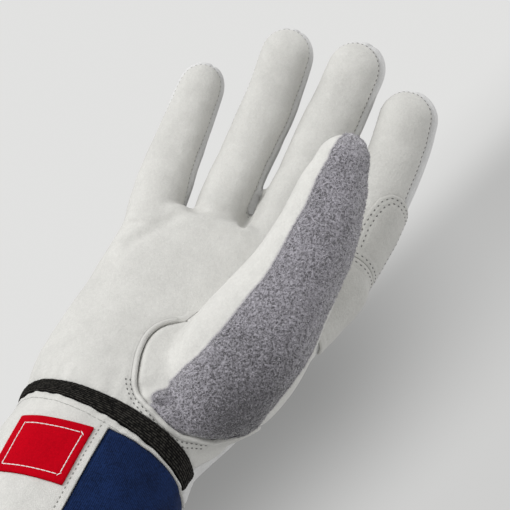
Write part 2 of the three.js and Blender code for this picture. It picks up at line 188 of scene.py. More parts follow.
# How much deeper the side seam runs on the thumb side of the wrist, columns z and depth
WRIST_SEAM = [(-12, 0), (-5, 2), (2, 4.6), (7, 7.4), (13, 10.4), (22, 9), (40, 0)]
# Creases across the inside of each finger, as heights above the wrist, little finger first
FINGER_CREASES = [(127, 146), (134, 158), (136, 162), (133, 154)]
CREASE_DEPTH = 0.22
CREASE_REACH = 1.9
# Depth of the gathers beside the band, and the slack of the leather: depth, wave and seed
GATHER = 0.42
SLACK = [(0.55, 21, 3), (0.2, 8, 7)]
# Rows of stitches: the distance of each from its seam or edge
PALM_ROW = 1.4
THUMB_ROWS = (2.5, 4.1)
UPPER_PATCH_ROWS = (1.6, 3.6)
LOWER_PATCH_ROW = 1.5
PANEL_ROW = 2.5
HEM_ROW = 2.8
# Where a row ends: lowest height of the palm's row, and of its part right of an x, whose stitches
# are painted darker as painted shade
PALM_ROW_LOW = 62
SHADED_ROW_LEFT, SHADED_ROW_LOW = 25, 116
# The rows at the thumb's base: highest height, farthest right and farthest back
BASE_HIGH, BASE_RIGHT, BASE_BACK = 17, 46, -11
# The panel's row lies left of an x, and the label's stitches are this far apart
PANEL_ROW_RIGHT = 3.2
LABEL_PITCH = 1.9
# Stitches of each row, columns: length, width, height, lift off the skin, colour of the thread
# and how bright it is, name of the thread, slot
STITCHES = {
    "palm_stitches": (0.85, 0.45, 0.3, 0.0, "palm_thread", 1, "pale grey thread", "white_leather"),
    # The finger stitches use the palm thread at half its brightness: painted shade on the middle
    # and index fingertips
    "finger_stitches": (
        0.95, 0.5, 0.34, 0.02, "palm_thread", 0.5, "grey finger thread", "white_leather"),
    "thumb_stitches": (0.95, 0.5, 0.35, 0.02, "thread", 1, "grey thread", "white_leather"),
    "patch_stitches": (0.95, 0.5, 0.36, 0.02, "thread", 1, "patch thread", "patch_leather"),
    "cuff_stitches": (1.0, 0.5, 0.36, 0.03, "palm_thread", 1, "cuff thread", "white_leather"),
    "cuff_edge_stitches": (2.3, 0.4, 0.3, 0.0, "pale_thread", 1, "pale thread", "white_leather"),
    "red_patch_stitches": (2.1, 0.42, 0.35, 0.05, "white_thread", 1, "white thread", "red_label"),
}


def smooth_rows(rows, count):
    """Rows through a table of sections, on a smooth curve, count in all."""
    table = np.array(rows, float)
    last = len(table) - 1
    out = []
    for at in np.linspace(0, last, count):
        i = min(int(at), last - 1)
        t = at - i
        p1, p2 = table[i], table[i + 1]
        p0 = table[i - 1] if i > 0 else 2 * p1 - p2
        p3 = table[i + 2] if i + 2 <= last else 2 * p2 - p1
        bend = 2 * p0 - 5 * p1 + 4 * p2 - p3
        twist = 3 * p1 - p0 - 3 * p2 + p3
        out.append(0.5 * (2 * p1 + (p2 - p0) * t + bend * t ** 2 + twist * t ** 3))
    return np.array(out)


def unit(vectors):
    return vectors / np.maximum(np.linalg.norm(vectors, axis=-1, keepdims=True), 1e-9)


def superellipse(around, square):
    """Points of a rounded outline of half width and depth 1."""
    turn = np.linspace(0, 2 * math.pi, around, endpoint=False)
    power = 2 / square
    across = np.sign(np.cos(turn)) * np.abs(np.cos(turn)) ** power
    deep = np.sign(np.sin(turn)) * np.abs(np.sin(turn)) ** power
    return across, deep


def loft(rows, count, around, tip, level=False):
    """Closed body through a table of sections; tip is the length of its rounded end."""
    table = smooth_rows(rows, count)
    ahead = unit(np.gradient(table[:, :3], axis=0))
    if level:
        ahead[:] = (0, 0, 1)
    square = table[:, 5] if table.shape[1] > 5 else np.full(count, PLAIN_SQUARE)
    tilt = table[:, 6] if table.shape[1] > 6 else np.zeros(count)
    rings = []
    for k in range(count + TIP_STEPS):
        i = min(k, count - 1)
        turn = math.pi / 2 * max(0, k - count + 1) / (TIP_STEPS + 0.1)
        centre = table[i, :3] + ahead[i] * tip * math.sin(turn)
        side = unit(np.array([1.0, 0, 0]) - ahead[i][0] * ahead[i])
        back = np.cross(ahead[i], side)
        across, deep = superellipse(around, square[i])
        across = across * table[i, 3] * math.cos(turn)
        deep = deep * table[i, 4] * math.cos(turn)
        ring = centre + np.outer(across, side) + np.outer(deep, back)
        ring[:, 2] += tilt[i] * (ring[:, 0] - centre[0])
        rings.append(ring)
    points = np.vstack(rings + [rings[0].mean(0), rings[-1].mean(0)])
    faces = []
    for r in range(len(rings) - 1):
        for j in range(around):
            a, b = r * around + j, r * around + (j + 1) % around
            faces.append((a, b, b + around, a + around))
    low, high = len(points) - 2, len(points) - 1
    top = (len(rings) - 1) * around
    for j in range(around):
        faces.append((low, (j + 1) % around, j))
        faces.append((high, top + j, top + (j + 1) % around))
    return points, faces


def edges_of(faces):
    """The three edges of each triangle, in its turning sense."""
    return np.vstack([faces[:, (0, 1)], faces[:, (1, 2)], faces[:, (2, 0)]])


class Skin:
    """A stretch of the glove's surface: points in mm, triangles, and outward normals."""

    def __init__(self, points, faces, normals):
        self.points, self.faces, self.normals = points, faces, normals

    def rim_edges(self):
        """Edges with a triangle on one side only, in the turning sense of that triangle."""
        edges = edges_of(self.faces)
        size = len(self.points)
        forward = edges[:, 0] * size + edges[:, 1]
        backward = edges[:, 1] * size + edges[:, 0]
        return edges[~np.isin(forward, backward)]

    def rim(self):
        return np.unique(self.rim_edges())

    def to_rim(self, chosen=None):
        """Distance of each point to the rim, or only to the places on it that are chosen."""
        rim = self.points[self.rim()]
        return nearest_distance(self.points, rim if chosen is None else rim[chosen(rim)])

    def moved(self, height):
        """The same skin, each point moved out along its normal."""
        out = self.normals * np.reshape(height, (-1, 1))
        return Skin(self.points + out, self.faces, self.normals)

    def side(self, field, sign, gap=GAP / 2):
        """The part where a field is below 0, or with sign -1 above it, less a gap at the line."""
        return self.below(sign * field(self.points) + gap)

    def below(self, field):
        """The part where the field's values are below 0, cut along their zero line."""
        field = np.where(np.abs(field) < 1e-4, 1e-4, field)
        inside = field < 0
        count = inside[self.faces].sum(1)
        whole = self.faces[count == 3]
        one = turn_first(self.faces[count == 1], inside)
        two = turn_first(self.faces[count == 2], ~inside)
        pairs = np.vstack([one[:, (0, 1)], one[:, (0, 2)], two[:, (0, 1)], two[:, (0, 2)]])
        if len(pairs) == 0:
            return self.packed(whole)
        a, b, new = self.shared(pairs)
        t = (field[a] / (field[a] - field[b]))[:, None]
        points = np.vstack([self.points, self.points[a] * (1 - t) + self.points[b] * t])
        normals = unit(self.normals[a] * (1 - t) + self.normals[b] * t)
        m, n = len(one), len(two)
        one_b, one_c = new[:m], new[m:2 * m]
        two_b, two_c = new[2 * m:2 * m + n], new[2 * m + n:]
        faces = np.vstack([
            whole,
            np.column_stack([one[:, 0], one_b, one_c]),
            np.column_stack([two_b, two[:, 1], two[:, 2]]),
            np.column_stack([two_b, two[:, 2], two_c]),
        ])
        return Skin(points, faces, np.vstack([self.normals, normals])).packed(faces)

    def shared(self, pairs):
        """The two ends of each different pair, and for every pair the number of its new point."""
        pairs.sort(axis=1)
        size = len(self.points)
        keys, place = np.unique(pairs[:, 0] * size + pairs[:, 1], return_inverse=True)
        return keys // size, keys % size, place.reshape(-1) + size

    def packed(self, faces):
        """Only the given triangles, and the points that they use."""
        used, place = np.unique(faces, return_inverse=True)
        return Skin(self.points[used], place.reshape(-1, 3), self.normals[used])

    def finer(self):
        """Each triangle split in four."""
        a, b, new = self.shared(edges_of(self.faces))
        points = np.vstack([self.points, (self.points[a] + self.points[b]) / 2])
        normals = np.vstack([self.normals, unit(self.normals[a] + self.normals[b])])
        ab, bc, ca = new.reshape(3, -1)
        p, q, r = self.faces.T
        corners = [(p, ab, ca), (ab, q, bc), (ca, bc, r), (ab, bc, ca)]
        return Skin(points, np.vstack([np.column_stack(c) for c in corners]), normals)


def turn_first(faces, chosen):
    """Triangles turned so that their one chosen corner comes first."""
    first = np.argmax(chosen[faces], axis=1)
    rows = np.arange(len(faces))
    return np.column_stack([faces[rows, (first + k) % 3] for k in range(3)])


def point_normals(points, faces):
    """Normal of each point, from the triangles round it by their size."""
    a, b, c = points[faces[:, 0]], points[faces[:, 1]], points[faces[:, 2]]
    flat = np.cross(b - a, c - a)
    return unit(sum(sums_over(faces[:, corner], flat, len(points)) for corner in range(3)))


def sums_over(keys, values, count):
    """The three columns of the values, summed over the rows with the same key."""
    return np.column_stack([np.bincount(keys, values[:, axis], count) for axis in range(3)])


def relaxed(points, faces, rounds):
    """Points moved towards the middle of their neighbours."""
    a, b = edges_of(faces).T
    share = np.bincount(a, minlength=len(points))[:, None]
    for _ in range(rounds):
        points = points * 0.5 + sums_over(a, points[b], len(points)) / share * 0.5
    return points


def ridge(value, middle, reach):
    """A smooth ridge: 1 at the middle, and gone at about twice the reach."""
    return np.exp(-((value - middle) / reach) ** 2)


def ramp(low, high, value):
    """0 below low, 1 above high, and smooth between."""
    t = np.clip((value - low) / (high - low), 0, 1)
    return t * t * (3 - 2 * t)


def column(rows, at, key, value):
    """A table's column key, where its column at has the value."""
    table = np.array(rows, float)
    return np.interp(value, table[:, at], table[:, key])


def wobble(points, size, seed):
    """Smooth random values from about -1 to 1; size is the length of a wave in mm."""
    shift = Vector((seed, seed * 1.7, -seed))
    return np.array([noise.noise(Vector(p) / size + shift) for p in points])


def segment_distance(points, a, b):
    """Distance from each point to the segment from a to b."""
    along = b - a
    t = np.clip(((points - a) @ along) / max(along @ along, 1e-9), 0, 1)
    return np.linalg.norm(points - a - t[:, None] * along, axis=1)


def line_distance(points, line):
    """Distance from each point to a polyline."""
    line = np.array(line, float)
    return np.min([segment_distance(points, a, b) for a, b in zip(line[:-1], line[1:])], axis=0)


def nearest_distance(points, targets):
    """Distance from each point to the nearest target, looked up in a tree."""
    tree = kdtree.KDTree(len(targets))
    for i, target in enumerate(targets):
        tree.insert(target, i)
    tree.balance()
    return np.array([tree.find(p)[2] for p in points])


def curl(z):
    """The y of the glove's middle surface at a height."""
    return MIDDLE_Y - BEND * np.maximum(0, z - BEND_START) ** 2


def depth(points):
    """Depth behind the middle surface, square to the fingers."""
    slope = 2 * BEND * np.maximum(0, points[:, 2] - BEND_START)
    return (points[:, 1] - curl(points[:, 2])) / np.sqrt(1 + slope ** 2)


def finger_middles(z):
    """The x of each finger's middle line at a height, little finger first."""
    return [column(rows, 2, 0, z) for rows in FINGERS]


def finger_side(points):
    """Place across the nearest finger: -1 at its little-finger side and 1 at its thumb side."""
    x, z = points[:, 0], points[:, 2]
    offsets = np.array([x - middle for middle in finger_middles(z)])
    nearest = np.abs(offsets).argmin(axis=0)
    offset = offsets[nearest, np.arange(len(x))]
    widths = np.array([column(rows, 2, 3, z) for rows in FINGERS])
    return np.clip(offset / widths[nearest, np.arange(len(x))], -1, 1), nearest


def hand_side(points):
    """Place across the hand, in the same way."""
    x, z = points[:, 0], points[:, 2]
    return np.clip((x - column(HAND, 2, 0, z)) / column(HAND, 2, 3, z), -1, 1)


def side_seam(points):
    """Depth of the seam between the palm leather and what lies behind it."""
    on_finger = ramp(104, 118, points[:, 2])
    side, nearest = finger_side(points)
    side = hand_side(points) * (1 - on_finger) + side * on_finger
    lean = SEAM_LEAN + (np.array(TIP_LEANS)[nearest] - SEAM_LEAN) * ramp(118, 150, points[:, 2])
    wrist = column(WRIST_SEAM, 0, 1, points[:, 2]) * ramp(0.3, 0.9, side)
    return SEAM_DEPTH - lean * side + wrist


def palm_field(points):
    """Below 0 in front of the side seam."""
    return depth(points) - side_seam(points)


def strip_field(points, k):
    """Below 0 on the strip between finger k and the next one."""
    left, right = finger_middles(points[:, 2])[k:k + 2]
    width = STRIP_WIDTH * ramp(0.05, 0.55, np.abs(finger_side(points)[0]))
    behind = depth(points) - side_seam(points) - width
    outside = [left - points[:, 0], points[:, 0] - right, STRIP_LOW - points[:, 2]]
    return np.max([behind, *outside], axis=0)


def closed_curve(rows):
    """A smooth closed line through the rows, eight steps from row to row."""
    steps = 8
    table = np.array(rows, float)
    wrapped = np.vstack([table[-1:], table, table[:2]])
    return smooth_rows(wrapped, (len(wrapped) - 1) * steps + 1)[steps:-steps - 1]


def outline_field(points, outline):
    """Signed distance in the x z plane to a closed outline, below 0 inside."""
    place = points[:, (0, 2)]
    outline = np.array(outline, float)
    best = np.full(len(place), 1e9)
    inside = np.zeros(len(place), bool)
    for a, b in zip(outline, np.roll(outline, -1, axis=0)):
        best = np.minimum(best, segment_distance(place, a, b))
        crosses = (a[1] > place[:, 1]) != (b[1] > place[:, 1])
        rise = b[1] - a[1] if b[1] != a[1] else 1
        at = a[0] + (place[:, 1] - a[1]) / rise * (b[0] - a[0])
        inside ^= crosses & (place[:, 0] < at)
    return np.where(inside, -best, best)


def form_distance(points, rows, tip):
    """Distance from each point to a lofted form's surface, roughly, below 0 inside."""
    table = smooth_rows(rows, 48)
    ahead = unit(np.gradient(table[:, :3], axis=0))
    apart = np.array([((points - c) ** 2).sum(1) for c in table[:, :3]])
    i = apart.argmin(axis=0)
    side = unit(np.array([1.0, 0, 0]) - ahead[:, :1] * ahead)
    back = np.cross(ahead, side)
    local = points - table[i, :3]
    u = (local * side[i]).sum(1) / table[i, 3]
    v = (local * back[i]).sum(1) / table[i, 4]
    w = np.where(i == len(table) - 1, (local * ahead[i]).sum(1) / tip, 0)
    return (np.sqrt(u * u + v * v + w * w) - 1) * table[i, 3]


def thumb_field(points):
    """Below 0 on the set-in thumb: behind its seam on the palm, and all round where it is free."""
    rise = np.clip((points[:, 1] + 13) * 0.9, 0, 13) * (1 - ramp(30, 50, points[:, 2]))
    front = points - rise[:, None] * (0, 0, 1)
    base = outline_field(front, closed_curve(THUMB_SEAM))
    base = np.maximum(base, points[:, 1] - THUMB_SEAM_BACK)
    free = form_distance(points, THUMB, THUMB_TIP) - THUMB_REACH
    free = np.maximum(free, THUMB_FREE - points[:, 2])
    return np.minimum(base, free)


def fleece_field(points):
    """Below 0 on the fleece."""
    x, y, slope = [column(FLEECE_EDGE, 0, key, points[:, 2]) for key in (1, 2, 3)]
    return (points[:, 1] - y - slope * (points[:, 0] - x)) / np.sqrt(1 + slope ** 2)


def off_fleece(points):
    """Whether places lie off the line between the fleece and the thumb's leather."""
    return np.abs(fleece_field(points)) > 0.3


def above_edge(points, edge):
    """Height of each point above a sloping edge of the wrist."""
    height, right, back = edge
    return points[:, 2] - height - right * points[:, 0] - back * points[:, 1]


def panel_field(points):
    """Below 0 on the navy panel."""
    inside = outline_field(points, PANEL)
    limits = [inside, points[:, 1] - PANEL_BACK, -above_edge(points, PANEL_LOW)]
    powers = [np.exp(np.clip(limit / PANEL_CORNER, -60, 60)) for limit in limits]
    return PANEL_CORNER * np.log(sum(powers))


def mesh_object(name, points, faces, smooth=True):
    """An object in the scene, from points in mm."""
    mesh = bpy.data.meshes.new(name)
    mesh.from_pydata([tuple(p * MM) for p in points], [], [tuple(f) for f in faces])
    mesh.polygons.foreach_set("use_smooth", [smooth] * len(mesh.polygons))
    mesh.update()
    made = bpy.data.objects.new(name, mesh)
    bpy.context.collection.objects.link(made)
    return made


def fused(bodies, voxel):
    """One skin round overlapping closed bodies."""
    points = np.vstack([body[0] for body in bodies])
    faces, start = [], 0
    for body in bodies:
        faces += [[i + start for i in face] for face in body[1]]
        start += len(body[0])
    blank = mesh_object("blank", points, faces)
    remesh = blank.modifiers.new("fuse", "REMESH")
    remesh.mode = "VOXEL"
    remesh.voxel_size = voxel * MM
    shaped = blank.evaluated_get(bpy.context.evaluated_depsgraph_get()).to_mesh()
    shaped.calc_loop_triangles()
    out = np.empty(len(shaped.vertices) * 3)
    shaped.vertices.foreach_get("co", out)
    triangles = np.empty(len(shaped.loop_triangles) * 3, int)
    shaped.loop_triangles.foreach_get("vertices", triangles)
    bpy.data.objects.remove(blank)
    return out.reshape(-1, 3) / MM, triangles.reshape(-1, 3)


def fold_height(points):
    """Height of the soft folds, the finger creases, the gathers and the slack of the leather."""
    height = np.zeros(len(points))
    for reach, rise, line in FOLDS:
        height += rise * ridge(line_distance(points, line), 0, reach)
    nearest = finger_side(points)[1]
    inner = ramp(1, 7, -depth(points))
    for k, levels in enumerate(FINGER_CREASES):
        for level in levels:
            wave = wobble(points * (0.12, 0, 0), 1, level) * 2
            crease = ridge(points[:, 2] - level + wave, 0, CREASE_REACH)
            crease *= (nearest == k) * ramp(104, 116, points[:, 2])
            height -= CREASE_DEPTH * crease * inner
    turn = np.arctan2(points[:, 1], points[:, 0])
    above, under = above_edge(points, BAND_TOP), -above_edge(points, BAND_BOTTOM)
    near_band = np.exp(-np.maximum(above, 0) / 8) * (under < 0)
    near_band += 0.6 * np.exp(-np.maximum(under, 0) / 6) * (above < 0)
    gathers = np.sin(turn * 31 + 2 * np.sin(turn * 5)) * 0.5 + np.sin(turn * 17 + 1) * 0.5
    height += GATHER * near_band * gathers
    for deep, size, seed in SLACK:
        height += deep * wobble(points, size, seed)
    return height


def glove_skin(voxel):
    """The whole outer surface, with its folds, above the hem."""
    bodies = [loft(HAND, *HAND_MESH, HAND_TIP, level=True)]
    bodies.append(loft(THUMB, *THUMB_MESH, THUMB_TIP))
    bodies += [loft(rows, *FINGER_MESH, tip) for rows, tip in zip(FINGERS, FINGER_TIPS)]
    bodies.append(loft(WEB, *WEB_MESH, WEB_TIP))
    points, faces = fused(bodies, voxel)
    points = relaxed(points, faces, SMOOTH_ROUNDS)
    normals = point_normals(points, faces)
    points = points + normals * fold_height(points)[:, None]
    points = relaxed(points, faces, FOLD_ROUNDS)
    skin = Skin(points, faces, point_normals(points, faces))
    return skin.below(-above_edge(points, HEM))


def walled(skin, wall):
    """A closed wall: the skin, its inner face and the rim between them."""
    inner = skin.points - skin.normals * wall
    size = len(skin.points)
    a, b = skin.rim_edges().T
    faces = [skin.faces, skin.faces[:, ::-1] + size]
    faces.append(np.column_stack([b, a, a + size]))
    faces.append(np.column_stack([b, a + size, b + size]))
    return np.vstack([skin.points, inner]), np.vstack(faces)


def turned_in(skin, wall):
    """The skin with its rim turned in by the wall, for a panel that is seen from outside."""
    edges = skin.rim_edges()
    rim, place = np.unique(edges, return_inverse=True)
    a, b = edges.T
    inner_a, inner_b = (place.reshape(-1, 2) + len(skin.points)).T
    faces = [skin.faces, np.column_stack([b, a, inner_a])]
    faces.append(np.column_stack([b, inner_a, inner_b]))
    points = np.vstack([skin.points, skin.points[rim] - skin.normals[rim] * wall])
    return points, np.vstack(faces)


def level_lines(skin, values, level):
    """Polylines on the skin where the values pass a level, with the normals along them."""
    shifted = values - level
    shifted = np.where(np.abs(shifted) < 1e-6, 1e-6, shifted)
    sign = shifted > 0
    mixed = skin.faces[(sign[skin.faces].sum(1) % 3) != 0]
    links, places = {}, {}
    for face in mixed.tolist():
        ends = []
        for a, b in ((face[0], face[1]), (face[1], face[2]), (face[2], face[0])):
            if sign[a] == sign[b]:
                continue
            key = (min(a, b), max(a, b))
            if key not in places:
                t = shifted[key[0]] / (shifted[key[0]] - shifted[key[1]])
                places[key] = [data[key[0]] * (1 - t) + data[key[1]] * t
                               for data in (skin.points, skin.normals)]
            ends.append(key)
        links.setdefault(ends[0], []).append(ends[1])
        links.setdefault(ends[1], []).append(ends[0])
    lines = []
    while links:
        start = next((key for key in links if len(links[key]) == 1), next(iter(links)))
        chain = [start]
        while links.get(chain[-1]):
            step = links[chain[-1]].pop()
            links[step].remove(chain[-1])
            if not links[chain[-1]]:
                del links[chain[-1]]
            chain.append(step)
        links.pop(chain[-1], None)
        lines.append([np.array([places[key][part] for key in chain]) for part in (0, 1)])
    return lines


def spaced(line, pitch):
    """Places at equal steps along a polyline: point, direction and normal of each."""
    points, normals = line
    steps = np.linalg.norm(np.diff(points, axis=0), axis=1)
    length = np.concatenate([[0], np.cumsum(steps)])
    count = int(length[-1] / pitch)
    if count < 2:
        return []
    at = (np.arange(count) + 0.5) * length[-1] / count

    def sample(data, value):
        return np.column_stack([np.interp(value, length, data[:, k]) for k in range(3)])

    along = unit(sample(points, at + 0.6) - sample(points, at - 0.6))
    return list(zip(sample(points, at), along, unit(sample(normals, at))))


def thread_blob():
    """A small rounded body, half length 1 along x, for one stitch."""
    sides, rings = 7, 5
    points, faces = [], []
    for r in range(1, rings):
        turn = math.pi * r / rings
        for s in range(sides):
            angle = 2 * math.pi * s / sides
            radius = math.sin(turn) ** 0.6
            points.append((-math.cos(turn), radius * math.cos(angle), radius * math.sin(angle)))
    points += [(-1, 0, 0), (1, 0, 0)]
    for r in range(rings - 2):
        for s in range(sides):
            a, b = r * sides + s, r * sides + (s + 1) % sides
            faces += [(a, b + sides, b), (a, a + sides, b + sides)]
    top = (rings - 2) * sides
    for s in range(sides):
        faces.append((len(points) - 2, s, (s + 1) % sides))
        faces.append((len(points) - 1, top + (s + 1) % sides, top + s))
    return np.array(points), np.array(faces)


def stitched(places, length, width, height, lift):
    """One mesh of stitches, each laid along its seam."""
    blob, faces = thread_blob()
    points, triangles = [], []
    for place, along, normal in places:
        along = unit(along - normal * (along @ normal))
        across = np.cross(normal, along)
        shape = blob * (length / 2, width / 2, height / 2)
        points.append(place + normal * lift + shape @ np.array([along, across, normal]))
        triangles.append(faces + len(blob) * len(triangles))
    return np.vstack(points), np.vstack(triangles)


class Value:
    """A number in a material, which can be added, multiplied and compared."""

    def __init__(self, look, socket):
        self.look, self.socket = look, socket

    def maths(self, operation, a, b=0.0):
        return self.look.value("ShaderNodeMath", {"operation": operation}, {0: a, 1: b})

    def __add__(self, other):
        return self.maths("ADD", self, other)

    def __sub__(self, other):
        return self.maths("SUBTRACT", self, other)

    def __rsub__(self, other):
        return self.maths("SUBTRACT", other, self)

    def __mul__(self, other):
        return self.maths("MULTIPLY", self, other)

    def __truediv__(self, other):
        return self.maths("DIVIDE", self, other)

    __radd__ = __add__

    def sine(self):
        return self.maths("SINE", self)

    def size(self):
        return self.maths("ABSOLUTE", self)

    def between(self, low, high):
        """0 below low, 1 above high, and smooth between."""
        sockets = {"Value": self, "From Min": low, "From Max": high}
        settings = {"interpolation_type": "SMOOTHSTEP"}
        return self.look.value("ShaderNodeMapRange", settings, sockets)


class Look:
    """A material that is built from nodes."""

    def __init__(self, name, tree=None):
        if tree is None:
            self.material = bpy.data.materials.new(name)
            self.material.use_nodes = True
            tree = self.material.node_tree
        self.tree = tree
        self.tree.nodes.clear()

    def node(self, kind, settings=None, sockets=None):
        """A new node, with its settings, and with a value or a link for each socket."""
        made = self.tree.nodes.new(kind)
        for key, value in (settings or {}).items():
            setattr(made, key, value)
        for key, value in (sockets or {}).items():
            value = value.socket if isinstance(value, Value) else value
            if isinstance(value, bpy.types.NodeSocket):
                self.tree.links.new(value, made.inputs[key])
            else:
                made.inputs[key].default_value = value
        return made

    def value(self, kind, settings=None, sockets=None, output=0):
        return Value(self, self.node(kind, settings, sockets).outputs[output])

    def place(self):
        """Place on the object in mm."""
        coordinates = self.node("ShaderNodeTexCoord").outputs["Object"]
        sockets = {"Vector": coordinates, "Scale": [1 / MM] * 3}
        return self.node("ShaderNodeMapping", None, sockets).outputs[0]

    def noise(self, wave, detail=2.0, rough=0.5, where=None):
        """Cloudy values from 0 to 1; wave is their size in mm."""
        sockets = {"Vector": where or self.place(), "Scale": 1 / wave}
        sockets.update({"Detail": detail, "Roughness": rough})
        return self.value("ShaderNodeTexNoise", None, sockets)

    def cells(self, wave):
        sockets = {"Vector": self.place(), "Scale": 1 / wave}
        return self.value("ShaderNodeTexVoronoi", None, sockets)

    def attribute(self, name):
        return self.value("ShaderNodeAttribute", {"attribute_name": name}, None, 2)

    def axis(self, name, where=None):
        place = where or self.place()
        return self.value("ShaderNodeSeparateXYZ", None, {0: place}, "XYZ".index(name))

    def joined(self, *parts):
        """A place or colour from its parts."""
        return self.node("ShaderNodeCombineXYZ", None, dict(enumerate(parts))).outputs[0]

    def mixed(self, share, first, second):
        sockets = {0: share, 6: first, 7: second}
        return self.node("ShaderNodeMix", {"data_type": "RGBA"}, sockets).outputs[2]

    def tinted(self, shade, ends, colour, dark, light):
        """The colour, from dark to light times as strong as the shade runs between its ends."""
        return self.mixed(shade.between(*ends), rgba(colour, dark), rgba(colour, light))

    def bump(self, height, distance, strength, under=None):
        """The normal, turned by a height; distance is how deep it goes in mm."""
        sockets = {"Height": height, "Distance": distance * MM, "Strength": strength}
        if under is not None:
            sockets["Normal"] = under
        return self.node("ShaderNodeBump", None, sockets).outputs[0]

    def finish(self, sockets):
        shader = self.node("ShaderNodeBsdfPrincipled", None, sockets)
        self.node("ShaderNodeOutputMaterial", None, {"Surface": shader.outputs[0]})
        return self.material


def rgba(colour, times):
    return [c * times for c in colour] + [1]


def leather_look(name, colour, creased_with_painted_shade=False, fuzz=None):
    """Matt leather: fine grain, soft clouds and soiling, and a crease along the rolled rim, with
    painted shade darkening it.
    """
    look = Look(name)
    clouds = look.noise(26, 3)
    patches = look.noise(6, 3)
    specks = look.noise(1.3, 3, 0.6)
    grain = look.noise(0.55, 4, 0.65)
    shade = (clouds - 0.5) * 0.5 + (patches - 0.5) * 0.3
    shade = shade + (specks - 0.5) * 0.35 + (grain - 0.5) * 0.5 + 0.5
    tint = look.tinted(shade, (0.2, 0.8), colour, 0.88, 1.1)
    height = grain * 0.6 + look.cells(0.75) * 0.5
    if creased_with_painted_shade:
        seam = look.attribute("seam")
        crease = 1 - ((seam - 2.1) / 0.3).size().between(0.0, 1.0)
        height = height - crease * 1.6
        # Painted shade: the tint darkens along the crease, a painted shadow line under the rolled
        # rim
        tint = look.mixed(crease * 0.3, tint, rgba(colour, 0.4))
    if fuzz is not None:
        near = (look.attribute("fuzz") - 1.0) * 0.7
        fuzzy = (look.noise(0.5, 3, 0.7) - 0.5) * 1.6 - near
        tint = look.mixed(fuzzy.between(-0.5, 0.7) * 0.75, tint, rgba(fuzz, 1.25))
    under = look.bump(look.noise(2.6, 3) + clouds * 2, 0.5, 0.4)
    normal = look.bump(height, 0.2, 0.7, under)
    return look.finish({
        "Base Color": tint, "Roughness": 0.74 + specks * 0.14, "Normal": normal,
        "Specular IOR Level": 0.3, "Sheen Weight": 0.08, "Sheen Roughness": 0.5,
    })


def weave_look(name, colour, pitch, twill=0.0, deep=0.12, contrast=0.1, rough=0.7, gloss=0.2):
    """Woven cloth: fine threads across each other, on a slant for twill."""
    look = Look(name)
    where = look.place()
    x, y, z = [look.axis(key, where) for key in "XYZ"]
    step = 2 * math.pi / pitch
    warp = ((x + y * 0.8 + z * twill) * step).sine()
    weft = ((z - x * twill * 0.3) * step).sine()
    threads = warp * weft * 0.5 + 0.5
    clouds = look.noise(9, 3)
    shade = threads * 0.5 + clouds * 0.5 + (look.noise(0.8, 3, 0.7) - 0.5) * 0.9
    tint = look.tinted(shade, (0.2, 0.8), colour, 1 - contrast, 1 + contrast)
    under = look.bump(look.noise(3.0, 2), 0.4, 0.3)
    normal = look.bump(threads, deep, 0.6, under)
    return look.finish({
        "Base Color": tint, "Roughness": rough + clouds * 0.1, "Normal": normal,
        "Specular IOR Level": gloss, "Sheen Weight": gloss * 0.3,
    })


def fleece_look(name, colour):
    """Brushed pile: short light curls, with painted shade darkening the gaps between them."""
    look = Look(name)
    # The clump attribute holds the pile's random clumping and a painted shade towards the wrist
    clump = look.attribute("clump")
    curls = 1 - (look.noise(1.15, 2, 0.6) - 0.5).size() * 7
    fibre = look.noise(0.42, 3, 0.7)
    # Painted shade: the tint is darker between the light curls, in the gaps of the pile
    shade = clump * 0.42 + curls.between(0.0, 1.0) * 0.4 + fibre * 0.85
    shade = shade + (look.noise(12, 2) - 0.5) * 0.2
    tint = look.tinted(shade, (0.4, 1.35), colour, 0.36, 2.1)
    normal = look.bump(fibre + curls * 0.5, 0.5, 0.8)
    return look.finish({
        "Base Color": tint, "Roughness": 0.95, "Normal": normal, "Sheen Weight": 1.0,
        "Sheen Roughness": 0.45, "Specular IOR Level": 0.1,
    })


def elastic_look(name, colour):
    """Black elastic: cords side by side along the band, wound in short steps, each cord painted
    lighter on its crest and darker between cords: painted highlight and painted shade.
    """
    look = Look(name)
    cord = look.attribute("cord")
    along = look.attribute("along")
    row = cord.maths("FLOOR", cord)
    crest_and_painted_light = ((cord - row) * math.pi).sine()
    step = look.noise(1, 1, where=look.joined(along * 30, row * 3.7)).between(0.38, 0.62)
    lint = look.noise(0.7, 3)
    # Painted light: the tint is lighter on each cord's crest, a painted highlight, and darker in
    # the grooves, painted shade
    shade = crest_and_painted_light * (0.55 + step * 0.45) + (lint - 0.5) * 0.8
    tint = look.tinted(shade, (0.3, 1.1), colour, 0.1, 3.6)
    normal = look.bump(crest_and_painted_light + step * 0.4 + lint * 0.3, 0.3, 0.8)
    return look.finish({
        "Base Color": tint, "Roughness": 0.8, "Normal": normal, "Specular IOR Level": 0.12,
    })


def thread_look(name, colour):
    """Twisted sewing thread."""
    look = Look(name)
    twist = ((look.axis("X") + look.axis("Z") * 1.3) * 14).sine() * 0.5 + 0.5
    tint = look.mixed(twist, rgba(colour, 0.75), rgba(colour, 1.15))
    normal = look.bump(twist, 0.08, 0.5)
    return look.finish({"Base Color": tint, "Roughness": 0.7, "Normal": normal})


def floor_look(name, colour):
    look = Look(name)
    tint = look.mixed(look.noise(400), rgba(colour, 0.98), rgba(colour, 1.02))
    return look.finish({"Base Color": tint, "Roughness": 0.8})


def size_of(name, description, default):
    return bpy.props.FloatProperty(name=name, description=description, default=default)


def count_of(name, description, default):
    return bpy.props.IntProperty(name=name, description=description, default=default)


def colour_of(name, description, default):
    return bpy.props.FloatVectorProperty(
        name=name, description=description, default=default, size=3, subtype="COLOR")


